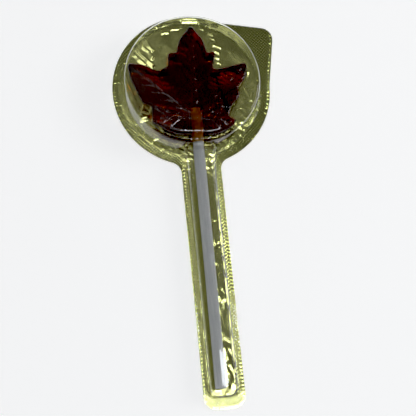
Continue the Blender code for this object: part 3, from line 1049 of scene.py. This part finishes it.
# The window's middle and half size, as slopes from straight up.
WINDOW_SLOPES = (("X", -0.18, 0.48), ("Y", -0.105, 0.150))
TABLE_GLOW = 0.56
TABLE_Z = -0.0002
CAMERA_LENS = 86.54
CAMERA_TURNS = (("Z", 0.06924), ("Y", 0.13569), ("X", -0.24647))
CAMERA_FROM_ORIGIN = Vector((-0.00565064, 0.04464675, -0.37427999))
PICTURE_BLACK = (0.02, 0.02, 0.02)

table, tree, shader = new_material("Pale table", (0.80, 0.80, 0.80, 1.0), 0.85)
shader.inputs["Emission Color"].default_value = (1.0, 1.0, 1.0, 1.0)
shader.inputs["Emission Strength"].default_value = TABLE_GLOW
bm = bmesh.new()
bmesh.ops.create_grid(bm, x_segments=1, y_segments=1, size=3.0)
bmesh.ops.translate(bm, verts=bm.verts, vec=(0.0, 0.0, TABLE_Z))
mesh = bpy.data.meshes.new("table")
bm.to_mesh(mesh)
bm.free()
mesh.materials.append(table)
floor = bpy.data.objects.new("table", mesh)
bpy.context.scene.collection.objects.link(floor)

world = bpy.data.worlds.new("Studio")
bpy.context.scene.world = world
world.use_nodes = True
room = world.node_tree
backdrop = room.nodes["Background"]
backdrop.inputs["Color"].default_value = ROOM_TINT
facing = add_node(room, "ShaderNodeTexCoord").outputs["Generated"]
parts = add_node(room, "ShaderNodeSeparateXYZ")
room.links.new(facing, parts.inputs["Vector"])


def towards(direction):
    """How nearly a direction of the surround is this one."""
    near = add_node(room, "ShaderNodeVectorMath", operation="DOT_PRODUCT")
    near.inputs[1].default_value = direction
    room.links.new(facing, near.inputs[0])
    return near.outputs["Value"]


def smooth_step(value, start, end, low, high):
    """Low at start, high at end, with a smooth step between."""
    step = add_node(room, "ShaderNodeMapRange", interpolation_type="SMOOTHSTEP")
    step.inputs["From Min"].default_value = start
    step.inputs["From Max"].default_value = end
    step.inputs["To Min"].default_value = low
    step.inputs["To Max"].default_value = high
    room.links.new(value, step.inputs["Value"])
    return step.outputs["Result"]


above = smooth_step(towards(ROOM_BRIGHT_TOWARDS), 0.55, 1.0, ROOM_DIM, ROOM_BRIGHT)
behind = smooth_step(towards(ROOM_BEHIND_TOWARDS), 0.80, 0.97, 0.0, ROOM_BEHIND)
low = smooth_step(parts.outputs["Z"], 0.30, 0.06, 0.0, ROOM_LOW)
front = smooth_step(parts.outputs["Y"], -0.20, -0.70, ROOM_LOW_ELSEWHERE, 1.0)
dim = reckon(room, "MULTIPLY_ADD", low, front, reckon(room, "ADD", above, behind))
inside = reckon(room, "GREATER_THAN", parts.outputs["Z"], 0.5)
for axis, center, half in WINDOW_SLOPES:
    slope = reckon(room, "DIVIDE", parts.outputs[axis], parts.outputs["Z"])
    away = reckon(room, "ABSOLUTE", reckon(room, "SUBTRACT", slope, center))
    edge = smooth_step(away, half + WINDOW_SOFT, half - WINDOW_SOFT, 0.0, 1.0)
    inside = reckon(room, "MULTIPLY", inside, edge)
lit = reckon(room, "MULTIPLY_ADD", inside, WINDOW_RADIANCE, dim)
room.links.new(lit, backdrop.inputs["Strength"])


def soft_light(name, place, target, wide, long, power, color):
    """A rectangular area light at place, turned to target."""
    lamp = bpy.data.lights.new(name, "AREA")
    lamp.shape = "RECTANGLE"
    lamp.size = wide
    lamp.size_y = long
    lamp.energy = power
    lamp.color = color
    made = bpy.data.objects.new(name, lamp)
    made.location = place
    made.rotation_euler = (Vector(target) - Vector(place)).to_track_quat("-Z", "Y").to_euler()
    bpy.context.scene.collection.objects.link(made)


soft_light(
    "Strip",
    place=(0.26, -0.02, 1.48),
    target=(0.26, -0.02, 0.0),
    wide=0.42,
    long=0.07,
    power=2.8,
    color=(0.90, 0.95, 1.0),
)
soft_light(
    "Side fill",
    place=(1.30, 0.10, 0.80),
    target=(0.0, -0.04, 0.0),
    wide=0.60,
    long=0.60,
    power=4.0,
    color=(1.0, 1.0, 1.0),
)

camera_data = bpy.data.cameras.new("Camera")
camera_data.sensor_width = 36.0
camera_data.lens = CAMERA_LENS
camera_data.clip_start = 0.01
camera = bpy.data.objects.new("Camera", camera_data)
turn = Matrix.Identity(3)
for axis, amount in CAMERA_TURNS:
    turn = turn @ Matrix.Rotation(amount, 3, axis)
place = -(turn.transposed() @ CAMERA_FROM_ORIGIN)
camera.matrix_world = Matrix.Translation(place) @ turn.transposed().to_4x4()
bpy.context.scene.collection.objects.link(camera)
bpy.context.scene.camera = camera
picture = bpy.context.scene.view_settings
picture.view_transform = "Standard"
picture.use_curve_mapping = True
picture.curve_mapping.black_level = PICTURE_BLACK
picture.curve_mapping.update()
